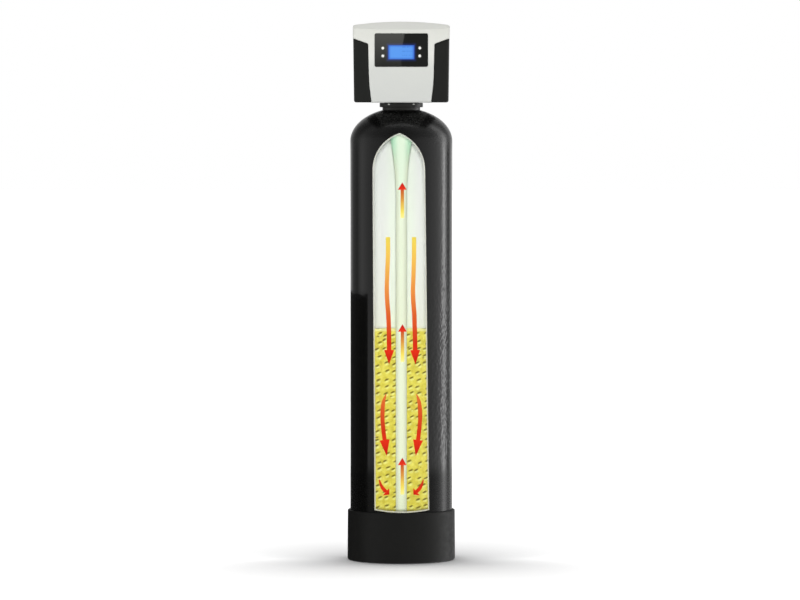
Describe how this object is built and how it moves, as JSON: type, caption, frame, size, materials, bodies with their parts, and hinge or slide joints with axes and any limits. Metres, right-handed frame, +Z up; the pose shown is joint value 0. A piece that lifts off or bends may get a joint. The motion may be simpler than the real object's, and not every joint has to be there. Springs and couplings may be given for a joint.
{
  "type": "iron removal filter",
  "caption": "Tall cutaway pressure tank with a pointed window on a media bed and riser, in a round boot, under a boxy control valve with a display and a rear bypass.",
  "frame": {"origin": "on the floor, on the axis of the tank", "axes": "+Z up along the tank, the display faces -Y, +X to the right seen from the front"},
  "size_m": [0.3265, 0.4053, 1.629],
  "materials": {
    "tank_black": "wound fibre, satin gloss",
    "liner_white": "smooth moulded polyethylene",
    "clear_pane": "clear acrylic",
    "seal_black": "matt rubber",
    "gasket_cream": "pale rubber channel",
    "boot_black": "lightly textured moulding",
    "valve_black": "glass-filled moulding",
    "riser_white": "pale extruded tube",
    "funnel_mint": "pale green translucent moulding",
    "media_yellow": "bonded mineral granules",
    "gravel_grey": "washed gravel",
    "basket_white": "moulded basket",
    "cover_grey": "light grey moulding",
    "wing_black": "fine matt texture",
    "panel_gloss": "polished black",
    "screen_blue": "backlit blue screen",
    "button_white": "white key",
    "board_green": "solder mask",
    "gear_white": "acetal",
    "piston_amber": "moulded piston",
    "cage_grey": "moulded cage",
    "steel": "zinc plated",
    "motor_steel": "plain can",
    "nut_black": "ribbed nut",
    "pipe_grey": "pipe adapter",
    "handle_grey": "light grey lever"
  },
  "bodies": {
    "root": {"tank_winding": "tank_black", "tank_liner": "liner_white", "neck_insert": "valve_black", "base_boot": "boot_black", "sight_window": "clear_pane", "window_gasket": "gasket_cream", "filter_media": "media_yellow", "gravel_bed": "gravel_grey", "riser_tube": "riser_white", "lower_distributor": "basket_white", "upper_diffuser": "funnel_mint", "valve_body": "valve_black", "neck_o_ring": "seal_black", "riser_o_ring": "seal_black", "seal_rings": "seal_black", "spacer_cages": "cage_grey", "end_plug": "valve_black", "plug_o_ring": "seal_black", "rod_seal": "seal_black", "barrel_screws": "steel", "drive_bracket": "valve_black", "gear_axle": "steel", "drive_motor": "motor_steel", "motor_screws": "steel", "injector_nozzle": "basket_white", "injector_throat": "basket_white", "injector_cap": "nut_black", "drain_plug": "nut_black", "air_check_valve": "nut_black", "drain_elbow": "nut_black", "drain_flow_washer": "seal_black", "meter_spider": "basket_white", "back_plate": "wing_black", "back_plate_screws": "steel", "power_socket": "nut_black", "coupling_nuts": "nut_black", "coupling_gaskets": "seal_black", "bypass_body": "valve_black", "rotor_caps": "nut_black", "inlet_adapter": "pipe_grey", "outlet_adapter": "pipe_grey"},
    "cover": {"front_cover": "cover_grey", "left_wing": "wing_black", "right_wing": "wing_black", "display_panel": "panel_gloss", "lcd_module": "screen_blue", "circuit_board": "board_green", "board_screws": "steel"},
    "piston": {"main_piston": "piston_amber", "piston_rod": "steel"},
    "main_gear_body": {"main_gear": "gear_white"},
    "reduction_body": {"reduction_gear": "gear_white"},
    "pinion_body": {"motor_pinion": "gear_white"},
    "impeller_body": {"meter_impeller": "gear_white"},
    "inlet_rotor_body": {"inlet_rotor": "handle_grey"},
    "outlet_rotor_body": {"outlet_rotor": "handle_grey"},
    "upper_left_button_body": {"upper_left_button": "button_white"},
    "lower_left_button_body": {"lower_left_button": "button_white"},
    "upper_right_button_body": {"upper_right_button": "button_white"},
    "lower_right_button_body": {"lower_right_button": "button_white"}
  },
  "joints": [
    {"name": "cover_pull", "type": "slide", "parent": "root", "child": "cover", "axis": [0, -1, 0], "range_m": [0, 0.24]},
    {"name": "main_gear_spin", "type": "hinge", "parent": "root", "child": "main_gear_body", "pos_m": [0, -0.091, 1.44798], "axis": [0, 1, 0], "range_deg": [0, 1080]},
    {"name": "piston_slide", "type": "slide", "parent": "root", "child": "piston", "axis": [0, 1, 0], "range_m": [0, 0.03001]},
    {"name": "reduction_gear_spin", "type": "hinge", "parent": "root", "child": "reduction_body", "pos_m": [0.03926, -0.095, 1.48092], "axis": [0, 1, 0], "range_deg": [-4166, 0]},
    {"name": "motor_pinion_spin", "type": "hinge", "parent": "root", "child": "pinion_body", "pos_m": [0.07649, -0.099, 1.46434], "axis": [0, 1, 0], "range_deg": [0, 14581]},
    {"name": "meter_spin", "type": "hinge", "parent": "root", "child": "impeller_body", "pos_m": [0.042, 0.084, 1.43998], "axis": [0, 1, 0], "continuous": true},
    {"name": "inlet_rotor_turn", "type": "hinge", "parent": "root", "child": "inlet_rotor_body", "pos_m": [-0.042, 0.153, 1.43998], "axis": [0, 0, 1], "range_deg": [0, 90]},
    {"name": "outlet_rotor_turn", "type": "hinge", "parent": "root", "child": "outlet_rotor_body", "pos_m": [0.042, 0.153, 1.43998], "axis": [0, 0, 1], "range_deg": [0, 90]},
    {"name": "upper_left_press", "type": "slide", "parent": "cover", "child": "upper_left_button_body", "axis": [0, 1, 0], "range_m": [0, 0.0008], "stiffness_N_per_m": 600},
    {"name": "lower_left_press", "type": "slide", "parent": "cover", "child": "lower_left_button_body", "axis": [0, 1, 0], "range_m": [0, 0.0008], "stiffness_N_per_m": 600},
    {"name": "upper_right_press", "type": "slide", "parent": "cover", "child": "upper_right_button_body", "axis": [0, 1, 0], "range_m": [0, 0.0008], "stiffness_N_per_m": 600},
    {"name": "lower_right_press", "type": "slide", "parent": "cover", "child": "lower_right_button_body", "axis": [0, 1, 0], "range_m": [0, 0.0008], "stiffness_N_per_m": 600}
  ],
  "couplings": [
    {"joint": "reduction_gear_spin", "follows": "main_gear_spin", "ratio": -3.8571},
    {"joint": "motor_pinion_spin", "follows": "main_gear_spin", "ratio": 13.5},
    {"joint": "piston_slide", "follows": "main_gear_spin", "m_per_rad": 0.0015915}
  ]
}
